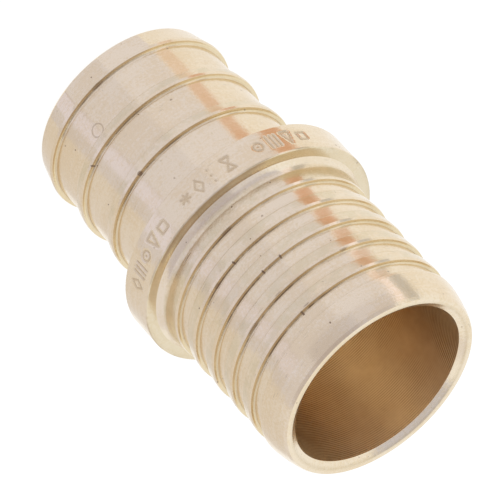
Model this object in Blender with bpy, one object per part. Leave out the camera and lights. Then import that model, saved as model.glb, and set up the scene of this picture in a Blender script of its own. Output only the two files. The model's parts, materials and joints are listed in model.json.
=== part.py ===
"""Straight turned brass coupling for plastic pipe: one piece, with a ribbed spigot on each side of a
stop collar and a plain bore right through. Metres, +Z up, standing on the narrower spigot's end."""

import math

import bmesh
import bpy

BORE_RADIUS = 0.00979
SEGMENTS = 64

# The bore opens out a little at the upper end.
MOUTH_WIDTH = 0.00068
MOUTH_DEPTH = 0.00045

# Lower spigot, for the narrower pipe. Walls and heights are measured outwards from the bore and the land.
LOWER_TIP_WALL = 0.00052
LOWER_TIP_CHAMFER = 0.00012
LOWER_TAPER = 0.00262
LOWER_WALL = 0.00063
LOWER_RIBS = 3
LOWER_RIB_HEIGHT = 0.00053
LOWER_RIB_WIDTH = 0.00084
LOWER_PITCH = 0.00555
LOWER_LAST_LAND = 0.00648

# Stop collar that both pipes butt against, and the flare that meets it from above.
COLLAR_WIDTH = 0.0038
COLLAR_STEP = 0.00173
COLLAR_CHAMFER = 0.00015
FLARE_LENGTH = 0.00065
FLARE_HEIGHT = 0.00067
FLARE_FILLET = 0.0011
FLARE_STEPS = 4

# Upper spigot, for the wider pipe.
UPPER_RUN_OUT = 0.00189
UPPER_WALL = 0.00157
UPPER_RIBS = 5
UPPER_RIB_HEIGHT = 0.00048
UPPER_RIB_WIDTH = 0.00114
UPPER_PITCH = 0.0032
UPPER_LAST_LAND = 0.00203
UPPER_TIP_RIM = 0.0003
NOSE_LENGTH = 0.00282
NOSE_BULGE = 0.00009
NOSE_STEPS = 4
UPPER_TIP_WALL = 0.00147
TIP_CHAMFER_WIDTH = 0.00018
TIP_CHAMFER_DEPTH = 0.00035

# Going down a rib: a steep front with a rounded foot, a narrow strip up to the crest, a top that falls
# a little and a leaning back.
STRIP_WIDTH = 0.0003
STRIP_FALL = 0.00006
FOOT_RADIUS = 0.00022
FOOT_STEPS = 3
RIB_FALL = 0.00012
BACK_LEAN = 0.00012

CREASE_ANGLE = math.radians(24.0)
BRASS = (0.82, 0.67, 0.42, 1.0)

LOWER_LAND_RADIUS = BORE_RADIUS + LOWER_WALL
LOWER_CREST_RADIUS = LOWER_LAND_RADIUS + LOWER_RIB_HEIGHT
LOWER_TOP_EDGE = LOWER_TAPER + (LOWER_RIBS - 1) * LOWER_PITCH
COLLAR_BOTTOM = LOWER_TOP_EDGE + LOWER_LAST_LAND
COLLAR_TOP = COLLAR_BOTTOM + COLLAR_WIDTH
UPPER_LAND_RADIUS = BORE_RADIUS + UPPER_WALL
UPPER_CREST_RADIUS = UPPER_LAND_RADIUS + UPPER_RIB_HEIGHT
UPPER_BOTTOM_EDGE = COLLAR_TOP + FLARE_LENGTH + UPPER_RUN_OUT
UPPER_TOP_EDGE = UPPER_BOTTOM_EDGE + (UPPER_RIBS - 1) * UPPER_PITCH
NOSE_BOTTOM = UPPER_TOP_EDGE + UPPER_LAST_LAND + UPPER_TIP_RIM
NOSE_TOP = NOSE_BOTTOM + NOSE_LENGTH
TOTAL_LENGTH = NOSE_TOP + TIP_CHAMFER_DEPTH
COLLAR_RADIUS = UPPER_CREST_RADIUS + COLLAR_STEP


def rib_back(edge_z, crest_radius, land_radius, width):
    """Lower half of a rib, going up: the leaning back and the far end of the falling top."""
    return [
        (land_radius, edge_z - width - BACK_LEAN),
        (crest_radius - RIB_FALL, edge_z - width),
    ]


def rib_front(edge_z, crest_radius, land_radius):
    """Upper half of a rib, going up: the crest, the strip, the steep front and its rounded foot."""
    front_z = edge_z + STRIP_WIDTH
    points = [(crest_radius, edge_z), (crest_radius - STRIP_FALL, front_z)]
    for step in range(FOOT_STEPS + 1):
        angle = 0.5 * math.pi * step / FOOT_STEPS
        radius = land_radius + FOOT_RADIUS * (1.0 - math.sin(angle))
        points.append((radius, front_z + FOOT_RADIUS * (1.0 - math.cos(angle))))
    return points


def lower_spigot():
    """Outside of the lower spigot, from its end face up. The lowest rib's back is the entry taper."""
    tip_radius = BORE_RADIUS + LOWER_TIP_WALL
    points = [(tip_radius - LOWER_TIP_CHAMFER, 0.0), (tip_radius, LOWER_TIP_CHAMFER)]
    points += rib_front(LOWER_TAPER, LOWER_CREST_RADIUS, LOWER_LAND_RADIUS)
    for index in range(1, LOWER_RIBS):
        edge_z = LOWER_TAPER + index * LOWER_PITCH
        points += rib_back(edge_z, LOWER_CREST_RADIUS, LOWER_LAND_RADIUS, LOWER_RIB_WIDTH)
        points += rib_front(edge_z, LOWER_CREST_RADIUS, LOWER_LAND_RADIUS)
    return points


def collar():
    """The stop collar, going up: square lower shoulder, rim, upper shoulder and flare."""
    run_out_radius = UPPER_CREST_RADIUS - RIB_FALL
    flare_slope = math.atan2(FLARE_HEIGHT, FLARE_LENGTH)
    fillet_z = COLLAR_TOP + FLARE_LENGTH + FLARE_FILLET * math.tan(0.5 * flare_slope)
    points = [
        (LOWER_LAND_RADIUS, COLLAR_BOTTOM),
        (COLLAR_RADIUS - COLLAR_CHAMFER, COLLAR_BOTTOM),
        (COLLAR_RADIUS, COLLAR_BOTTOM + COLLAR_CHAMFER),
        (COLLAR_RADIUS, COLLAR_TOP - COLLAR_CHAMFER),
        (COLLAR_RADIUS - COLLAR_CHAMFER, COLLAR_TOP),
        (run_out_radius + FLARE_HEIGHT, COLLAR_TOP),
    ]
    for step in range(FLARE_STEPS + 1):
        angle = flare_slope * (1.0 - step / FLARE_STEPS)
        radius = run_out_radius + FLARE_FILLET * (1.0 - math.cos(angle))
        points.append((radius, fillet_z - FLARE_FILLET * math.sin(angle)))
    return points


def upper_spigot():
    """Outside of the upper spigot, going up. The lowest rib's top runs out into the flare."""
    points = rib_front(UPPER_BOTTOM_EDGE, UPPER_CREST_RADIUS, UPPER_LAND_RADIUS)
    for index in range(1, UPPER_RIBS):
        edge_z = UPPER_BOTTOM_EDGE + index * UPPER_PITCH
        points += rib_back(edge_z, UPPER_CREST_RADIUS, UPPER_LAND_RADIUS, UPPER_RIB_WIDTH)
        points += rib_front(edge_z, UPPER_CREST_RADIUS, UPPER_LAND_RADIUS)
    return points


def upper_tip():
    """Rounded nose of the upper spigot, with its narrow rim below, then the end face and the mouth."""
    nose_radius = BORE_RADIUS + UPPER_TIP_WALL
    points = [(UPPER_LAND_RADIUS, NOSE_BOTTOM - UPPER_TIP_RIM - BACK_LEAN)]
    points.append((UPPER_CREST_RADIUS, NOSE_BOTTOM - UPPER_TIP_RIM))
    for step in range(NOSE_STEPS + 1):
        share = step / NOSE_STEPS
        bulge = 4.0 * NOSE_BULGE * share * (1.0 - share)
        radius = UPPER_CREST_RADIUS + (nose_radius - UPPER_CREST_RADIUS) * share + bulge
        points.append((radius, NOSE_BOTTOM + NOSE_LENGTH * share))
    points.append((nose_radius - TIP_CHAMFER_WIDTH, TOTAL_LENGTH))
    points.append((BORE_RADIUS + MOUTH_WIDTH, TOTAL_LENGTH))
    points.append((BORE_RADIUS, TOTAL_LENGTH - MOUTH_DEPTH))
    return points


def revolve(name, profile):
    """Turn a closed (radius, height) profile round Z into one closed ring-shaped mesh."""
    body = bmesh.new()
    rings = []
    for step in range(SEGMENTS):
        angle = 2.0 * math.pi * step / SEGMENTS
        cosine = math.cos(angle)
        sine = math.sin(angle)
        rings.append([body.verts.new((r * cosine, r * sine, z)) for r, z in profile])
    for ring, following in zip(rings, rings[1:] + rings[:1]):
        for index in range(len(profile)):
            corners = (ring[index - 1], ring[index], following[index], following[index - 1])
            body.faces.new(corners)
    bmesh.ops.recalc_face_normals(body, faces=body.faces)
    mesh = bpy.data.meshes.new(name)
    body.to_mesh(mesh)
    body.free()
    mesh.shade_smooth()
    mesh.set_sharp_from_angle(angle=CREASE_ANGLE)
    return mesh


def brass_material(name):
    material = bpy.data.materials.new(name)
    material.use_nodes = True
    shader = material.node_tree.nodes["Principled BSDF"]
    shader.inputs["Base Color"].default_value = BRASS
    shader.inputs["Metallic"].default_value = 1.0
    shader.inputs["Roughness"].default_value = 0.25
    material.diffuse_color = BRASS
    return material


def clear_scene():
    for existing in list(bpy.data.objects):
        bpy.data.objects.remove(existing, do_unlink=True)


def build():
    clear_scene()
    bore_bottom = [(BORE_RADIUS, 0.0)]
    profile = lower_spigot() + collar() + upper_spigot() + upper_tip() + bore_bottom
    mesh = revolve("coupling_body", profile)
    mesh.materials.append(brass_material("turned_brass"))
    body = bpy.data.objects.new("coupling_body", mesh)
    bpy.context.scene.collection.objects.link(body)


build()
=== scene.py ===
import json
import math

import bpy
import numpy as np
from mathutils import Matrix, Vector


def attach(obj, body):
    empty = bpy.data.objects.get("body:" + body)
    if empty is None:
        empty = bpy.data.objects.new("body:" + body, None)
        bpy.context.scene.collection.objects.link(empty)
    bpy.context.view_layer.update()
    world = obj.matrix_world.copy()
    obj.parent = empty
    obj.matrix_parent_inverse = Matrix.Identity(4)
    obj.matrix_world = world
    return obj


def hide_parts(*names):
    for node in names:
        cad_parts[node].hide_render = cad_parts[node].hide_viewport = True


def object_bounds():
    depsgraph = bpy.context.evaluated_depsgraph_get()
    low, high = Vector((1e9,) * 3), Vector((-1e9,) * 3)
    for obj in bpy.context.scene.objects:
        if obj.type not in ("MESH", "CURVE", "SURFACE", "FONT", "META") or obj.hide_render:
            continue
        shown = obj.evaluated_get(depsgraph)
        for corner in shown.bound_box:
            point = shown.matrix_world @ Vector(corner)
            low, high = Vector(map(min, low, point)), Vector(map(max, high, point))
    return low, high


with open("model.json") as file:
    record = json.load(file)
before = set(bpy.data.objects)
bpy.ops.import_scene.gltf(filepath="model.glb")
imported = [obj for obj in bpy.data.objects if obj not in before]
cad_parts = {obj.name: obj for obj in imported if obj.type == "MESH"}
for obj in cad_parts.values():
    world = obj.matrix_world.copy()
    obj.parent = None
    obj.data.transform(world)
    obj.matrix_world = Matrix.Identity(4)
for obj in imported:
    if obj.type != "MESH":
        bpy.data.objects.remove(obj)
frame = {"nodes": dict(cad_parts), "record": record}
cadLow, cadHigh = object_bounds()
print("frame loaded:", sorted(frame["nodes"]))

mm = 0.001  # in metres, Blender's unit


class Wire:
    # one node socket; arithmetic on it adds Math nodes to its tree
    def __init__(self, tree, socket=None):
        self.tree = tree
        self.socket = socket

    def node(self, kind, settings=None, inputs=None, output=0):
        # any node: its settings first, then the values or links of its sockets
        made = self.tree.nodes.new(kind)
        for name, value in (settings or {}).items():
            setattr(made, name, value)
        for name, value in (inputs or {}).items():
            if isinstance(value, Wire):
                self.tree.links.new(value.socket, made.inputs[name])
            else:
                made.inputs[name].default_value = value
        return Wire(self.tree, made.outputs[output] if made.outputs else None)

    def maths(self, operation, first, second=0.0):
        # a Math node on two values
        return self.node("ShaderNodeMath", {"operation": operation}, {0: first, 1: second})

    def __add__(self, other):
        return self.maths("ADD", self, other)

    def __radd__(self, other):
        return self.maths("ADD", other, self)

    def __sub__(self, other):
        return self.maths("SUBTRACT", self, other)

    def __rsub__(self, other):
        return self.maths("SUBTRACT", other, self)

    def __mul__(self, other):
        return self.maths("MULTIPLY", self, other)

    def __rmul__(self, other):
        return self.maths("MULTIPLY", other, self)

    def __truediv__(self, other):
        return self.maths("DIVIDE", self, other)

    def __rtruediv__(self, other):
        return self.maths("DIVIDE", other, self)

    def __pow__(self, other):
        return self.maths("POWER", self, other)

    def sine(self):
        return self.maths("SINE", self)

    def clip(self):
        # held between 0 and 1
        return self.node("ShaderNodeClamp", None, {0: self})

    def smooth(self, low, high):
        # 0 below low, 1 above high, with soft ends; low may be the larger one
        settings = {"interpolation_type": "SMOOTHSTEP"}
        if low < high:
            return self.node("ShaderNodeMapRange", settings, {0: self, 1: low, 2: high, 3: 0.0, 4: 1.0})
        return self.node("ShaderNodeMapRange", settings, {0: self, 1: high, 2: low, 3: 1.0, 4: 0.0})

    def parts(self):
        # the three numbers of a vector
        made = self.node("ShaderNodeSeparateXYZ", None, {0: self}).socket.node
        return [Wire(self.tree, output) for output in made.outputs]

    def vector(self, x, y, z):
        return self.node("ShaderNodeCombineXYZ", None, {0: x, 1: y, 2: z})

    def noise(self, place, scale, detail=2.0, rough=0.5):
        # soft noise round 0.5
        return self.node("ShaderNodeTexNoise", None,
                         {"Vector": place, "Scale": scale, "Detail": detail, "Roughness": rough})

    def attribute(self, name):
        # a number stored on the mesh's points
        return self.node("ShaderNodeAttribute", {"attribute_name": name}, None, output=2)

    def blend(self, first, second):
        # a colour: first where this mask is 0, second where it is 1
        settings = {"data_type": "RGBA", "clamp_factor": True}
        return self.node("ShaderNodeMix", settings, {0: self, 6: first, 7: second}, output=2)


def newMaterial(name):
    # an empty material, and a Wire on its tree
    material = bpy.data.materials.new(name)
    material.use_nodes = True
    material.node_tree.nodes.clear()
    return material, Wire(material.node_tree)


def finishMaterial(wire, surface):
    # links the shader to the material's output
    wire.node("ShaderNodeOutputMaterial", None, {"Surface": surface})


cameraSettings = {
    "lens": 403.2, "sensor": 36.0,                   # mm
    "elevation": 32.94,                              # degrees above the horizon
    "roll": 137.6,                                   # degrees; the part lies slantwise in the view
    "mouthInView": (0.01248, -0.013114, -0.547145),  # m, centre of the bore's mouth in the camera's own axes
    "mouthBelowTop": 0.00043,                        # m
    "clipStart": 0.01, "clipEnd": 20.0,              # m
}


def makeCamera(settings, top):
    # turned first about X by 90 degrees less the elevation, then rolled about its own axis,
    # and put where the bore's mouth falls at its place in the view
    data = bpy.data.cameras.new("studioCamera")
    data.lens = settings["lens"]
    data.sensor_width = settings["sensor"]
    data.clip_start = settings["clipStart"]
    data.clip_end = settings["clipEnd"]
    camera = bpy.data.objects.new("studioCamera", data)
    bpy.context.scene.collection.objects.link(camera)
    tilt = Matrix.Rotation(math.radians(90.0 - settings["elevation"]), 4, "X")
    roll = Matrix.Rotation(math.radians(settings["roll"]), 4, "Z")
    turn = tilt @ roll
    mouth = Vector((0.0, 0.0, top - settings["mouthBelowTop"]))
    place = mouth - turn @ Vector(settings["mouthInView"])
    camera.matrix_world = Matrix.Translation(place) @ turn
    bpy.context.scene.camera = camera
    return camera


camera = makeCamera(cameraSettings, cadHigh.z)
print("camera placed at", [round(v, 4) for v in camera.matrix_world.translation])


# lengths in mm; what the frame holds (bore, collar, overall length, shoulders) is read from it
bodySizes = {
    "lowerTipWall": 0.52, "lowerTipEdge": 0.12, "lowerTaper": 2.62, "lowerWall": 0.63,
    "lowerRibs": 3, "lowerRibHeight": 0.53, "lowerRibWidth": 0.84, "lowerPitch": 5.55,
    "flareLength": 0.65, "flareHeight": 0.67,
    "upperRunOut": 1.89, "upperWall": 1.57,
    "upperRibs": 5, "upperRibHeight": 0.48, "upperRibWidth": 1.14, "upperPitch": 3.20,
    "upperLastLand": 2.03, "tipRim": 0.30, "noseLength": 2.82, "noseBulge": 0.09, "noseSteps": 4,
    "upperTipWall": 1.47, "tipEdge": 0.18, "mouthWidth": 0.68, "mouthDepth": 0.45,
    "stripWidth": 0.30, "stripFall": 0.06, "ribFall": 0.12, "backLean": 0.12,
    # radius that each corner of the outline is rounded to
    "round": {
        "lowerTip": 0.03, "lowerTipEdge": 0.05, "back": 0.13, "crest": 0.035, "strip": 0.04, "foot": 0.23,
        "lowerShoulder": 0.12, "collar": 0.15, "flareEdge": 0.03, "flareFillet": 1.1,
        "rimFoot": 0.10, "rim": 0.05, "nose": 6.0, "noseEnd": 0.15, "face": 0.05,
        "mouthEdge": 0.06, "mouthFoot": 0.08, "boreEnd": 0.06,
    },
    # spacing of the rows on each kind of surface
    "rows": {
        "taper": 0.5, "back": 0.4, "top": 0.5, "strip": 0.15, "front": 0.2,
        "dentedLand": 0.12, "lowerLand": 1.4, "upperLand": 0.5, "shoulder": 0.5, "collar": 0.105,
        "flare": 0.3, "rim": 0.3, "nose": 0.5, "edge": 0.3, "face": 0.4, "mouth": 0.4, "bore": 3.6,
    },
    # columns round the axis, finer between two turns (degrees) where the collar is marked
    "columnsFine": 210, "columnsCoarse": 84, "fineFrom": -58.0, "fineTo": 58.0,
    # an arc is cut into steps of at most this many degrees, or fewer steps from the large radius on
    "arcStep": 30.0, "largeArcStep": 15.0, "largeRadius": 0.3,
}


def frameSizes():
    # sizes in mm that come from the frame: the bore's and the collar's radius, the length and the shoulders
    mesh = frame["nodes"]["coupling_body"].data
    places = np.empty(len(mesh.vertices) * 3)
    mesh.vertices.foreach_get("co", places)
    places = places.reshape(-1, 3) / mm
    radii = np.hypot(places[:, 0], places[:, 1])
    shoulders = {m["name"]: m["pos_m"][2] / mm for m in frame["record"]["mounts"]}
    return {
        "bore": radii.min(), "collar": radii.max(), "length": places[:, 2].max(),
        "collarBottom": shoulders["lower_shoulder"], "collarTop": shoulders["upper_shoulder"],
    }


def bodyCorners(size, real):
    # corners of the closed outline, going up the outside and down the bore, each as its radius, height,
    # rounding radius, row spacing and kind of surface up to the next corner
    # also returns the places (radius, height) of the ribs' feet
    bore, length = real["bore"], real["length"]
    low, top = real["collarBottom"], real["collarTop"]
    corners, feet = [], []

    def corner(radius, height, name, kind, rows=None):
        corners.append((radius, height, size["round"][name], size["rows"][rows or kind], kind))

    def rib(edge, land, crest, width, landRows):
        if width:
            corner(land, edge - width - size["backLean"], "back", "back")
            corner(crest - size["ribFall"], edge - width, "back", "top")
        front = edge + size["stripWidth"]
        corner(crest, edge, "crest", "strip")
        corner(crest - size["stripFall"], front, "strip", "front")
        corner(land, front, "foot", "land", landRows)
        feet.append((land, front))

    tip = bore + size["lowerTipWall"]
    corner(tip - size["lowerTipEdge"], 0.0, "lowerTip", "taper")
    corner(tip, size["lowerTipEdge"], "lowerTipEdge", "taper")
    land = bore + size["lowerWall"]
    crest = land + size["lowerRibHeight"]
    for index in range(size["lowerRibs"]):
        edge = size["lowerTaper"] + index * size["lowerPitch"]
        if index == 0:
            rib(edge, land, crest, 0.0, "dentedLand")
        else:
            rib(edge, land, crest, size["lowerRibWidth"], "lowerLand")
    corner(land, low, "lowerShoulder", "shoulder")
    corner(real["collar"], low, "collar", "collar")
    corner(real["collar"], top, "collar", "shoulder")

    land = bore + size["upperWall"]
    crest = land + size["upperRibHeight"]
    runOut = crest - size["ribFall"]
    corner(runOut + size["flareHeight"], top, "flareEdge", "flare")
    corner(runOut, top + size["flareLength"], "flareFillet", "top")
    firstEdge = top + size["flareLength"] + size["upperRunOut"]
    for index in range(size["upperRibs"]):
        edge = firstEdge + index * size["upperPitch"]
        rib(edge, land, crest, index and size["upperRibWidth"], "upperLand")

    rim = edge + size["upperLastLand"]
    tip = bore + size["upperTipWall"]
    nose = rim + size["tipRim"]
    corner(land, rim - size["backLean"], "rimFoot", "back")
    corner(crest, rim, "rim", "rim")
    for step in range(size["noseSteps"]):
        share = step / size["noseSteps"]
        bulge = 4.0 * size["noseBulge"] * share * (1.0 - share)
        corner(crest + (tip - crest) * share + bulge, nose + size["noseLength"] * share,
               "nose" if step else "rim", "nose")
    corner(tip, nose + size["noseLength"], "noseEnd", "edge")
    corner(tip - size["tipEdge"], length, "face", "face")
    corner(bore + size["mouthWidth"], length, "mouthEdge", "mouth")
    corner(bore, length - size["mouthDepth"], "mouthFoot", "bore")
    corner(bore, 0.0, "boreEnd", "face")
    return corners, feet


def roundedOutline(corners, size):
    # each corner becomes an arc that touches both its sides, and each side is cut into even steps
    # returns radius and height per row, in order round the outline, and the kind of surface of each row
    points = np.array([c[:2] for c in corners])
    before = np.roll(points, 1, axis=0) - points
    after = np.roll(points, -1, axis=0) - points
    lengthBefore = np.hypot(*before.T)
    lengthAfter = np.hypot(*after.T)
    toBefore = before / lengthBefore[:, None]
    toAfter = after / lengthAfter[:, None]
    opening = np.arccos(np.clip((toBefore * toAfter).sum(1), -1.0, 1.0))
    rounding = np.array([c[2] for c in corners])
    # length taken off each side: a small arc takes less than half of the shorter side
    cut = rounding / np.tan(opening / 2.0)
    large = rounding > size["largeRadius"]
    cut = np.minimum(cut, 0.49 * np.minimum(lengthBefore, lengthAfter) + 0.5 * cut * large)
    rounding = cut * np.tan(opening / 2.0)
    starts = points + toBefore * cut[:, None]
    ends = points + toAfter * cut[:, None]
    rows, kinds = [], []
    for index, (spacing, kind) in enumerate(c[3:] for c in corners):
        middle = toBefore[index] + toAfter[index]
        middle /= np.hypot(*middle)
        centre = points[index] + middle * rounding[index] / math.sin(opening[index] / 2.0)
        small = rounding[index] < size["largeRadius"]
        stepAngle = math.radians(size["arcStep"] if small else size["largeArcStep"])
        steps = max(2, math.ceil((math.pi - opening[index]) / stepAngle))
        first = np.arctan2(*(starts[index] - centre)[::-1])
        last = np.arctan2(*(ends[index] - centre)[::-1])
        sweep = (last - first + math.pi) % (2.0 * math.pi) - math.pi
        turns = first + sweep * np.linspace(0.0, 1.0, steps + 1)
        rows.append(centre + rounding[index] * np.stack([np.cos(turns), np.sin(turns)], axis=1))
        half = (steps + 1) // 2
        kinds += [corners[index - 1][4]] * half + [kind] * (steps + 1 - half)
        side = starts[(index + 1) % len(corners)] - ends[index]
        inner = int(np.hypot(*side) / spacing)
        if inner > 0:
            shares = np.arange(1, inner + 1) / (inner + 1.0)
            rows.append(ends[index] + side * shares[:, None])
            kinds += [kind] * inner
    return np.vstack(rows), np.array(kinds)


def columnAngles(size):
    # azimuth of each column from the facing line, finer where the collar is marked
    fineFrom, fineTo = math.radians(size["fineFrom"]), math.radians(size["fineTo"])
    fine = np.linspace(fineFrom, fineTo, size["columnsFine"], endpoint=False)
    coarse = np.linspace(fineTo, fineFrom + 2.0 * math.pi, size["columnsCoarse"], endpoint=False)
    return np.concatenate([fine, coarse])


# marks pressed into the collar, in mm: plain shapes in a row, none of them a letter
# start and spacing run along the collar's rim, from the facing line; slim is a shape's width against its
# height, and a ring's middle dot is wider than a stroke by dot
markSettings = {
    "height": 1.9, "slim": 0.62, "stroke": 0.13, "soft": 0.05, "depth": 0.09, "dot": 0.02,
    "start": -12.6, "spacing": 1.82,
    "row": ["diamond", "bars", "ringDot", "triangle", "square", "gap",
            "stars", "diamond", "dots", "hourglass", "gap",
            "ringDot", "bars", "triangle", "square"],
}

# one old ring-shaped dent on the land above the taper: turn in degrees, the rest in mm
dentSettings = {"turn": -20.0, "height": 6.42, "across": 1.40, "line": 0.10, "depth": 0.022}


def segmentDistance(along, up, ends):
    # distance from every point to the straight stroke between two ends
    (x0, y0), (x1, y1) = ends
    dx, dy = x1 - x0, y1 - y0
    share = np.clip(((along - x0) * dx + (up - y0) * dy) / (dx * dx + dy * dy), 0.0, 1.0)
    return np.hypot(along - x0 - share * dx, up - y0 - share * dy)


def strokesOf(kind, half, w):
    # straight strokes of one mark, as pairs of ends, in a box of the given half height and half width w
    shapes = {
        "diamond": [(0, half), (w, 0), (0, -half), (-w, 0), (0, half)],
        "triangle": [(-w, -half), (w, -half), (0, half), (-w, -half)],
        "square": [(-w, -w), (w, -w), (w, w), (-w, w), (-w, -w)],
        "hourglass": [(-w, half), (w, half), (-w, -half), (w, -half), (-w, half)],
    }
    if kind in shapes:
        path = shapes[kind]
        return list(zip(path, path[1:]))
    if kind == "bars":
        return [((-w, -half), (-w, half)), ((0, -half), (0, half)), ((w, -half), (w, half))]
    if kind == "stars":
        return [((0, -w), (0, w)), ((-w, -0.5 * w), (w, 0.5 * w)), ((-w, 0.5 * w), (w, -0.5 * w))]
    if kind == "dots":
        # a stroke almost without length makes a dot
        return [((-0.5 * w, y), (-0.5 * w + 0.01, y)) for y in (-half, 0.0, half)]
    return []


def markShare(along, up, settings):
    # share of the full depth at each point: 1 inside a stroke, fading to 0 over a soft edge
    half = 0.5 * settings["height"] - settings["stroke"]
    wide = settings["slim"] * half
    nearest = np.full(along.shape, np.inf)
    for index, kind in enumerate(settings["row"]):
        here = along - (settings["start"] + index * settings["spacing"])
        for ends in strokesOf(kind, half, wide):
            nearest = np.minimum(nearest, segmentDistance(here, up, ends))
        if kind == "ringDot":
            reach = np.hypot(here, up)
            nearest = np.minimum(nearest, np.abs(reach - wide))
            nearest = np.minimum(nearest, reach - settings["dot"])
    fade = np.clip((settings["stroke"] + settings["soft"] - nearest) / (2.0 * settings["soft"]), 0.0, 1.0)
    return fade * fade * (3.0 - 2.0 * fade)


def turnedSurface(outline, kinds, angles, real):
    # point(row, column) = (-r sin a, -r cos a, z): the outline turned round Z, less the pressed marks
    # and less the dent, a ring whose depth falls off as a bell curve on both sides of its line
    # also returns the marks' share of their depth
    radius = np.repeat(outline[:, :1], len(angles), axis=1)
    height = np.repeat(outline[:, 1:], len(angles), axis=1)
    turn = np.repeat(angles[None, :], len(outline), axis=0)
    wrapped = (turn + math.pi) % (2.0 * math.pi) - math.pi
    onCollar = (kinds == "collar")[:, None]
    middle = 0.5 * (real["collarBottom"] + real["collarTop"])
    sunk = np.where(onCollar, markShare(wrapped * real["collar"], height - middle, markSettings), 0.0)
    radius = radius - sunk * markSettings["depth"]
    onLand = (kinds == "land")[:, None]
    reach = np.hypot((wrapped - math.radians(dentSettings["turn"])) * radius, height - dentSettings["height"])
    ring = np.exp(-((reach - 0.5 * dentSettings["across"]) / dentSettings["line"]) ** 2)
    radius = radius - np.where(onLand, ring * dentSettings["depth"], 0.0)
    points = np.stack([-radius * np.sin(turn), -radius * np.cos(turn), height], axis=-1) * mm
    return points, sunk


def gridMesh(name, points):
    # closed both ways: row to next row, column to next column
    # also returns each point's normal: the cross products of the diagonals of the four faces round it,
    # added up and made one long
    rows, columns = points.shape[:2]
    index = np.arange(rows * columns).reshape(rows, columns)
    right = np.roll(index, -1, axis=1)
    up = np.roll(index, -1, axis=0)
    diagonal = np.roll(right, -1, axis=0)
    faces = np.stack([index, up, diagonal, right], axis=-1).reshape(-1, 4)
    mesh = bpy.data.meshes.new(name)
    mesh.vertices.add(rows * columns)
    mesh.vertices.foreach_set("co", points.reshape(-1).astype(np.float32))
    mesh.loops.add(faces.size)
    mesh.loops.foreach_set("vertex_index", faces.reshape(-1).astype(np.int32))
    mesh.polygons.add(len(faces))
    mesh.polygons.foreach_set("loop_start", np.arange(0, faces.size, 4, dtype=np.int32))
    mesh.polygons.foreach_set("use_smooth", np.ones(len(faces), dtype=bool))
    mesh.update(calc_edges=True)
    mesh.validate()
    nextRow = np.roll(points, -1, axis=0)
    nextColumn = np.roll(points, -1, axis=1)
    both = np.roll(nextRow, -1, axis=1)
    patch = np.cross(both - points, nextColumn - nextRow)
    normal = patch + np.roll(patch, 1, axis=0)
    normal = normal + np.roll(normal, 1, axis=1)
    normal /= np.linalg.norm(normal, axis=-1, keepdims=True)
    return mesh, normal


def setAttribute(mesh, name, values):
    # one number per point of the mesh
    attribute = mesh.attributes.new(name, "FLOAT", "POINT")
    attribute.data.foreach_set("value", values.reshape(-1).astype(np.float32))


def nearness(outline, places, width):
    # 1 on rows of the outline at any of the places (radius, height), fading as a bell curve of that width
    reach = np.min([np.hypot(outline[:, 0] - r, outline[:, 1] - z) for r, z in places], axis=0)
    return np.exp(-(reach / width) ** 2)


# how far round its corners each kind of wear and of painted reflection reaches, in mm, and the surfaces that
# have their own finish or painted light
wearSettings = {
    "foot": 0.11, "footAway": (0.04, 0.03), "back": 0.07, "mouth": 0.05, "collar": 0.13,
    "masks": ["bore", "flare", "front", "shoulder", "top"],
}


def rowValues(outline, kinds, corners, feet, real, wear):
    # numbers that are the same all round a row: the way along the outline, the nearness to feet, backs
    # and edges, and 1 or 0 for the kinds of surface with a finish or painted light of their own
    step = np.hypot(*(np.roll(outline, -1, axis=0) - outline).T)
    out, up = wear["footAway"]
    values = {
        "along": np.concatenate([[0.0], np.cumsum(step)[:-1]]),
        "inFoot": nearness(outline, [(r + out, z + up) for r, z in feet], wear["foot"]),
        "atBack": nearness(outline, [c[:2] for c in corners if c[4] == "back"], wear["back"]),
        "atMouth": nearness(outline, [c[:2] for c in corners if c[4] == "mouth"], wear["mouth"]),
        "atCollar": nearness(outline, [(real["collar"], real["collarTop"])], wear["collar"]),
    }
    for kind in wear["masks"]:
        values[kind + "Mask"] = (kinds == kind).astype(float)
    return values


def makeBody(size, wear):
    # the whole coupling as one closed turned surface
    real = frameSizes()
    corners, feet = bodyCorners(size, real)
    outline, kinds = roundedOutline(corners, size)
    angles = columnAngles(size)
    points, sunk = turnedSurface(outline, kinds, angles, real)
    mesh, normals = gridMesh("turnedBody", points)
    setAttribute(mesh, "sunk", sunk)
    for name, values in rowValues(outline, kinds, corners, feet, real, wear).items():
        setAttribute(mesh, name, np.repeat(values[:, None], len(angles), axis=1))
    mesh.normals_split_custom_set_from_vertices(normals.reshape(-1, 3).tolist())
    body = bpy.data.objects.new("turnedBody", mesh)
    bpy.context.scene.collection.objects.link(body)
    print("body grid:", points.shape[:2], "triangles:", 2 * points.shape[0] * points.shape[1])
    return body


body = makeBody(bodySizes, wearSettings)


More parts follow.
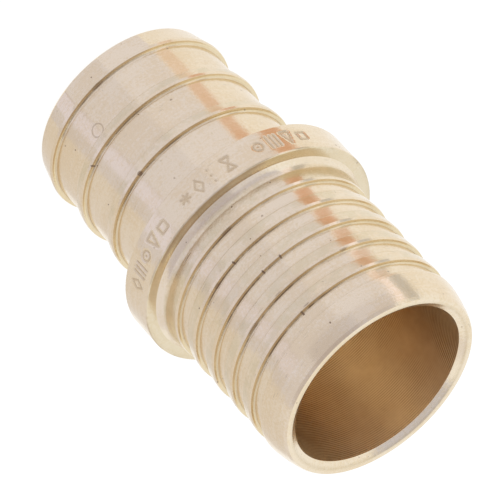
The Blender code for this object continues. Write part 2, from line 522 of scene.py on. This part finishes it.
brassSettings = {
    "colour": (0.80, 0.675, 0.505, 1.0), "warm": (0.765, 0.62, 0.43, 1.0),
    "tarnish": (0.16, 0.085, 0.035, 1.0), "footTarnishAndReflection": (0.70, 0.56, 0.33, 1.0),
    "markTint": (0.50, 0.375, 0.235, 1.0), "pit": (0.12, 0.05, 0.028, 1.0),
    "boreTint": (1.00, 0.81, 0.52, 1.0), "boreBrownAndShade": (0.58, 0.37, 0.17, 1.0),
    "scratch": (0.42, 0.36, 0.27, 1.0), "olive": (0.62, 0.53, 0.35, 1.0),
    "paintedFlareHighlight": (0.86, 0.79, 0.70, 1.0), "paintedFrontShade": (0.71, 0.57, 0.335, 1.0),
    "edgeTint": (0.46, 0.35, 0.20, 1.0),
    "roughness": 0.14, "anisotropic": 0.5,
    "borePitch": 0.24,                                                # mm
    "boreLine": 0.00001, "turningLine": 0.0000024, "wave": 0.000012,  # m, depths of the bumps
    "tarnishFrom": (-0.95, -0.45), "tarnishTo": (0.55, 0.05),         # radians, the more tarnished stretch
    # small stains: turn (degrees), height (mm), half width, half height (mm), strength
    "stains": [
        (-27.5, 25.35, 0.75, 0.06, 0.8), (3.0, 42.75, 0.10, 0.13, 0.9), (-3.7, 39.75, 0.14, 0.17, 0.95),
        (0.5, 39.5, 0.40, 0.09, 0.6), (-27.0, 36.45, 1.00, 0.10, 0.5), (-6.0, 36.35, 0.50, 0.08, 0.5),
        (-4.2, 33.25, 0.13, 0.16, 0.95), (6.8, 33.25, 0.13, 0.17, 0.9), (-11.8, 30.05, 0.13, 0.16, 0.95),
        (-26.0, 30.1, 0.60, 0.09, 0.5), (-4.0, 26.85, 0.70, 0.08, 0.5), (-18.0, 14.0, 0.30, 0.14, 0.8),
        (-36.0, 8.45, 0.12, 0.14, 0.9), (-3.0, 2.95, 0.80, 0.09, 0.5), (33.0, 36.4, 0.50, 0.07, 0.5),
        (14.0, 28.0, 0.14, 0.12, 0.6), (22.0, 9.6, 0.16, 0.12, 0.6), (-6.0, 17.3, 0.12, 0.14, 0.5),
    ],
}


def brassPlaces(wire):
    # where a point of the body is: x, y, z and radius in mm, its turn from the facing line in radians,
    # its direction from the axis as two numbers, and mm along the outline
    x, y, z = (1.0 / mm * part for part in wire.node("ShaderNodeTexCoord", None, None, output=3).parts())
    radius = (x * x + y * y) ** 0.5
    return {
        "spread": wire.vector(x, y, z), "z": z, "radius": radius,
        "turn": wire.maths("ARCTAN2", -1.0 * x, -1.0 * y),
        "east": x / radius, "north": y / radius, "along": wire.attribute("along"),
    }


def aroundNoise(wire, place, across, lengthwise, detail, rough):
    # noise with one scale round the axis and another along the outline
    spot = wire.vector(across * place["east"], across * place["north"], lengthwise * place["along"])
    return wire.noise(spot, 1.0, detail, rough)


def stainMask(wire, place, grain, settings, dent):
    # pits at the middle of scattered cells, the listed stains as ragged ovals, and the dent's dark line
    cells = {"Vector": place["spread"], "Scale": 0.62, "Randomness": 1.0}
    cell = wire.node("ShaderNodeTexVoronoi", None, cells)
    stain = cell.smooth(0.085, 0.03) * grain.smooth(0.46, 0.56)
    for degrees, height, halfWidth, halfHeight, strength in settings["stains"]:
        across = (place["turn"] - math.radians(degrees)) * place["radius"] / halfWidth
        up = (place["z"] - height) / halfHeight
        reach = across * across + up * up + 1.2 * (grain - 0.5)
        stain = wire.maths("MAXIMUM", stain, strength * reach.smooth(1.3, 0.25))
    across = (place["turn"] - math.radians(dent["turn"])) * place["radius"]
    up = place["z"] - dent["height"]
    reach = (across * across + up * up) ** 0.5 - 0.5 * dent["across"]
    line = (reach * reach).smooth(0.012, 0.002) * (0.15 + 0.5 * grain)
    return wire.maths("MAXIMUM", stain, line)


def boreColourAndShade(place, blotch, streak, feed, settings):
    # golden in the middle and browner to both sides along x, which is painted shade, in patches, with the
    # tool's feed lines
    # painted shade: the dark brown grows towards both sides, along x
    sides = (place["east"] * place["east"]).smooth(0.20, 0.85)
    ageAndShade = 0.24 + 0.46 * sides + 0.8 * (blotch - 0.5) + 0.7 * (streak - 0.5)
    return (ageAndShade + 0.55 * feed).clip().blend(settings["boreTint"], settings["boreBrownAndShade"])


def brassMaterial(settings, dent):
    # turned brass: fine lines round the axis, tarnish and painted golden reflection in the ribs' feet,
    # tarnish in the marks, pits, stains, and a duller bore, browner in patches and, as painted shade, towards
    # both sides, with the tool's feed lines
    material, wire = newMaterial("turnedBrass")
    place = brassPlaces(wire)
    spread, turn = place["spread"], place["turn"]
    masks = ("bore", "top", "shoulder", "flare", "front")
    bore, top, shoulder, flare, front = (wire.attribute(name + "Mask") for name in masks)
    wear = ("inFoot", "atBack", "atMouth", "atCollar", "sunk")
    foot, back, mouthEdge, collarEdge, sunk = (wire.attribute(name) for name in wear)
    outside = 1.0 - bore

    lines = aroundNoise(wire, place, 1.1, 3.2, 3.0, 0.6)
    fine = aroundNoise(wire, place, 2.0, 11.0, 2.0, 0.5)
    streak = aroundNoise(wire, place, 5.0, 0.5, 3.0, 0.65)
    patchy = aroundNoise(wire, place, 3.2, 0.31, 3.0, 0.7)
    short = aroundNoise(wire, place, 9.0, 13.0, 1.0, 0.5)
    blotch = wire.noise(spread, 0.16, 4.0, 0.6)
    grain = wire.noise(spread, 1.7, 3.0, 0.6)
    mottle = wire.noise(spread, 3.6, 2.0, 0.55)

    # the metal itself, cooler and warmer, with olive specks and rib tops and short scratches
    warmth = (blotch + 0.5 * (lines - 0.5) + 0.75 * (mottle - 0.5)).smooth(0.36, 0.66)
    colour = warmth.blend(settings["colour"], settings["warm"])
    specks = wire.noise(spread, 5.5, 2.0, 0.6).smooth(0.58, 0.70) * patchy.smooth(0.42, 0.58)
    colour = (0.40 * specks).blend(colour, settings["olive"])
    colour = (0.45 * top * streak.smooth(0.35, 0.60)).blend(colour, settings["olive"])
    scratches = short.smooth(0.66, 0.76) * (0.5 * grain + 0.5 * blotch).smooth(0.44, 0.58) * outside
    colour = (0.55 * scratches).blend(colour, settings["scratch"])

    # tints of single surfaces, partly painted light, then the darker edges
    # tarnish and painted golden reflection in the ribs' feet
    colour = (0.60 * foot).blend(colour, settings["footTarnishAndReflection"])
    colour = (0.45 * shoulder * (0.4 + patchy)).clip().blend(colour, settings["olive"])
    # painted highlight: a paler colour on the flare
    colour = (0.15 * flare).blend(colour, settings["paintedFlareHighlight"])
    # painted shade: a darker golden colour on the rib fronts, in patches
    colour = (0.55 * front * (0.5 + patchy)).clip().blend(colour, settings["paintedFrontShade"])
    edges = back * (0.35 + 0.9 * streak) + 0.8 * mouthEdge * grain + collarEdge * streak.smooth(0.42, 0.62)
    colour = (0.75 * edges.clip()).blend(colour, settings["edgeTint"])

    # brown tarnish in the feet, in broken lengths, and in the marks
    facing = turn.smooth(*settings["tarnishFrom"]) * turn.smooth(*settings["tarnishTo"])
    broken = (0.45 * streak + 0.55 * patchy).smooth(0.38, 0.58)
    tarnish = (foot.smooth(0.20, 0.90) * (0.16 + 0.95 * facing) * (0.16 + 1.05 * broken)).clip()
    colour = (0.88 * tarnish).blend(colour, settings["tarnish"])
    colour = (0.75 * sunk * (0.65 + 0.5 * grain)).clip().blend(colour, settings["markTint"])
    stain = (stainMask(wire, place, grain, settings, dent) * outside).clip()
    colour = (0.85 * stain).blend(colour, settings["pit"])

    feedMask = aroundNoise(wire, place, 1.6, 0.12, 2.0, 0.5).smooth(0.36, 0.58)
    feed = (2.0 * math.pi / settings["borePitch"] * place["along"] + turn).sine() * feedMask
    # the bore's colour, with painted shade towards both sides
    colour = bore.blend(colour, boreColourAndShade(place, blotch, streak, feed, settings))

    rough = (settings["roughness"] + 0.08 * blotch + 0.10 * (mottle - 0.5) + 0.22 * tarnish + 0.20 * stain
             + 0.18 * sunk + 0.15 * scratches + 0.17 * bore)
    metal = 1.0 - 0.30 * tarnish - 0.5 * stain - 0.20 * sunk - 0.08 * bore

    relief = wire.node("ShaderNodeBump", None, {
        "Strength": 1.0, "Distance": settings["wave"], "Height": grain * outside})
    relief = wire.node("ShaderNodeBump", None, {
        "Strength": 1.0, "Distance": settings["turningLine"],
        "Height": (lines + 0.35 * fine) * outside - 6.0 * stain, "Normal": relief})
    relief = wire.node("ShaderNodeBump", None, {
        "Strength": 1.0, "Distance": settings["boreLine"], "Height": 0.5 * feed * bore, "Normal": relief})
    shader = wire.node("ShaderNodeBsdfPrincipled", None, {
        "Base Color": colour,
        "Metallic": metal.clip(),
        "Roughness": rough.clip(),
        "Normal": relief,
        "Anisotropic": settings["anisotropic"],
        "Anisotropic Rotation": 0.25,
    })
    finishMaterial(wire, shader)
    return material


body.data.materials.append(brassMaterial(brassSettings, dentSettings))
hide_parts("coupling_body")
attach(body, "root")
print("brass made")


besideBody = 0.0104  # m from the axis, where the floor cards begin

stageSettings = {
    "floorSize": 6.0, "floorDrop": 0.00004, "cardLift": 0.0001,  # m
    "floorColour": (0.18, 0.18, 0.18, 1.0), "floorGlow": 0.88,
    "skyColour": (1.0, 1.03, 1.06, 1.0), "skyStrength": 1.08,
    # cards lying on the floor, seen only in reflections: name, first and last turn (degrees) of the brass
    # that mirrors them, start and reach from the axis (m), colour
    "floorCards": [
        ("leftCard", -75.0, -37.0, besideBody, 0.60, (0.86, 0.84, 0.84)),
        ("leftShade", -37.0, -29.0, besideBody, 0.60, (0.79, 0.79, 0.88)),
        ("pinkCard", -29.0, -19.7, besideBody, 0.60, (0.88, 0.89, 1.08)),
        ("thinShade", -19.7, -18.9, besideBody, 0.60, (0.72, 0.70, 0.78)),
        ("greyCard", -18.9, 7.0, besideBody, 0.60, (0.845, 0.855, 0.97)),
        ("creamCard", 7.0, 35.0, besideBody, 0.60, (0.91, 0.92, 1.03)),
        ("salmonNear", 35.5, 44.5, 0.0130, 0.022, (0.96, 0.84, 0.77)),
        ("salmonSecond", 35.5, 44.5, 0.022, 0.036, (0.91, 0.72, 0.62)),
        ("salmonMiddle", 35.5, 45.0, 0.036, 0.056, (0.80, 0.50, 0.35)),
        ("salmonFourth", 36.0, 45.5, 0.056, 0.066, (0.84, 0.60, 0.48)),
        ("salmonFar", 36.5, 46.0, 0.066, 0.077, (0.89, 0.70, 0.62)),
        ("whiteFloor", 34.0, 38.5, 0.077, 0.30, (1.20, 1.15, 1.26)),
        ("darkFloor", 39.0, 46.0, 0.080, 0.30, (0.69, 0.70, 0.73)),
    ],
    # upright cards round the part: name, first and last direction (degrees), foot and top (m), colour
    "uprightReach": 0.30,
    "uprightCards": [
        ("backLeft", -135.0, -80.0, 0.0, 0.34, (0.93, 0.93, 0.98)),
        ("leftUpright", -80.0, -28.0, 0.0, 0.11, (0.84, 0.86, 1.00)),
        ("leftHigh", -80.0, -28.0, 0.11, 0.34, (0.66, 0.64, 0.72)),
        ("frontUpright", -28.0, 24.0, 0.0, 0.11, (0.72, 0.72, 0.82)),
        ("frontHigh", -28.0, 24.0, 0.11, 0.34, (0.60, 0.58, 0.66)),
        ("rightUpright", 24.0, 66.0, 0.0, 0.11, (0.80, 0.80, 0.90)),
        ("rightHigh", 24.0, 66.0, 0.11, 0.30, (0.70, 0.70, 0.80)),
        ("whiteUpright", 68.0, 77.0, 0.0, 0.10, (1.20, 1.15, 1.26)),
        ("greyUpright", 78.0, 92.0, 0.0, 0.10, (0.69, 0.70, 0.73)),
    ],
    # cards overhead: name, centre and half sizes (m), colour
    "overheadCards": [
        ("overheadFront", (0.00, -0.33, 0.50), (0.15, 0.17), (0.62, 0.605, 0.66)),
        ("overheadLeft", (0.29, -0.30, 0.50), (0.14, 0.20), (0.72, 0.71, 0.80)),
        ("overheadRight", (-0.27, -0.30, 0.50), (0.12, 0.20), (0.84, 0.85, 0.94)),
        ("overheadTop", (0.02, -0.05, 0.52), (0.26, 0.11), (0.70, 0.73, 0.88)),
    ],
}


def makeFloor(settings):
    # a plain square just under the part, glowing a little so that it stays pale
    half = 0.5 * settings["floorSize"]
    low = -settings["floorDrop"]
    mesh = bpy.data.meshes.new("studioFloor")
    corners = [(-half, -half, low), (half, -half, low), (half, half, low), (-half, half, low)]
    mesh.from_pydata(corners, [], [(0, 1, 2, 3)])
    floor = bpy.data.objects.new("studioFloor", mesh)
    bpy.context.scene.collection.objects.link(floor)
    material, wire = newMaterial("paleFloor")
    finishMaterial(wire, wire.node("ShaderNodeBsdfPrincipled", None, {
        "Base Color": settings["floorColour"], "Roughness": 0.9,
        "Specular IOR Level": 0.0,
        "Emission Color": (1.0, 1.0, 1.0, 1.0), "Emission Strength": settings["floorGlow"],
    }))
    mesh.materials.append(material)
    return floor


def cardMaterial(name, colour):
    # an even glow of one colour
    material, wire = newMaterial(name)
    glow = wire.node("ShaderNodeEmission", None, {"Color": tuple(colour) + (1.0,), "Strength": 1.0})
    finishMaterial(wire, glow)
    return material


def makeCard(name, corners, colour):
    # a flat card with four corners, which shows only in reflections
    mesh = bpy.data.meshes.new(name)
    mesh.from_pydata(corners, [], [(0, 1, 2, 3)])
    card = bpy.data.objects.new(name, mesh)
    bpy.context.scene.collection.objects.link(card)
    mesh.materials.append(cardMaterial(name, colour))
    card.visible_camera = False
    card.visible_diffuse = False
    card.visible_shadow = False
    return card


def makeCards(settings, near):
    # a floor card's long edges start beside the part and run out in the mirrored direction, at twice the turn
    for name, first, last, start, reach, colour in settings["floorCards"]:
        corners = []
        for degrees, ends in ((first, (start, reach)), (last, (reach, start))):
            turn = math.radians(degrees)
            for end in ends:
                run = end - near
                x = -near * math.sin(turn) - run * math.sin(2.0 * turn)
                y = -near * math.cos(turn) - run * math.cos(2.0 * turn)
                corners.append((x, y, settings["cardLift"]))
        makeCard(name, corners, colour)
    reach = settings["uprightReach"]
    for name, first, last, foot, high, colour in settings["uprightCards"]:
        (x0, y0), (x1, y1) = ((-reach * math.sin(math.radians(a)), -reach * math.cos(math.radians(a)))
                              for a in (first, last))
        makeCard(name, [(x0, y0, foot), (x1, y1, foot), (x1, y1, high), (x0, y0, high)], colour)
    for name, (x, y, z), (wide, deep), colour in settings["overheadCards"]:
        makeCard(name, [(x - wide, y - deep, z), (x + wide, y - deep, z), (x + wide, y + deep, z),
                        (x - wide, y + deep, z)], colour)


def makeSky(settings):
    # an even, pale light from all round
    world = bpy.data.worlds.new("studioSky")
    world.use_nodes = True
    world.node_tree.nodes.clear()
    wire = Wire(world.node_tree)
    glow = wire.node("ShaderNodeBackground", None,
                     {"Color": settings["skyColour"], "Strength": settings["skyStrength"]})
    wire.node("ShaderNodeOutputWorld", None, {"Surface": glow})
    bpy.context.scene.world = world


makeCards(stageSettings, besideBody)
makeFloor(stageSettings)
makeSky(stageSettings)
bpy.context.scene.view_settings.view_transform = "Standard"  # colours as they are given
print("floor and light made")
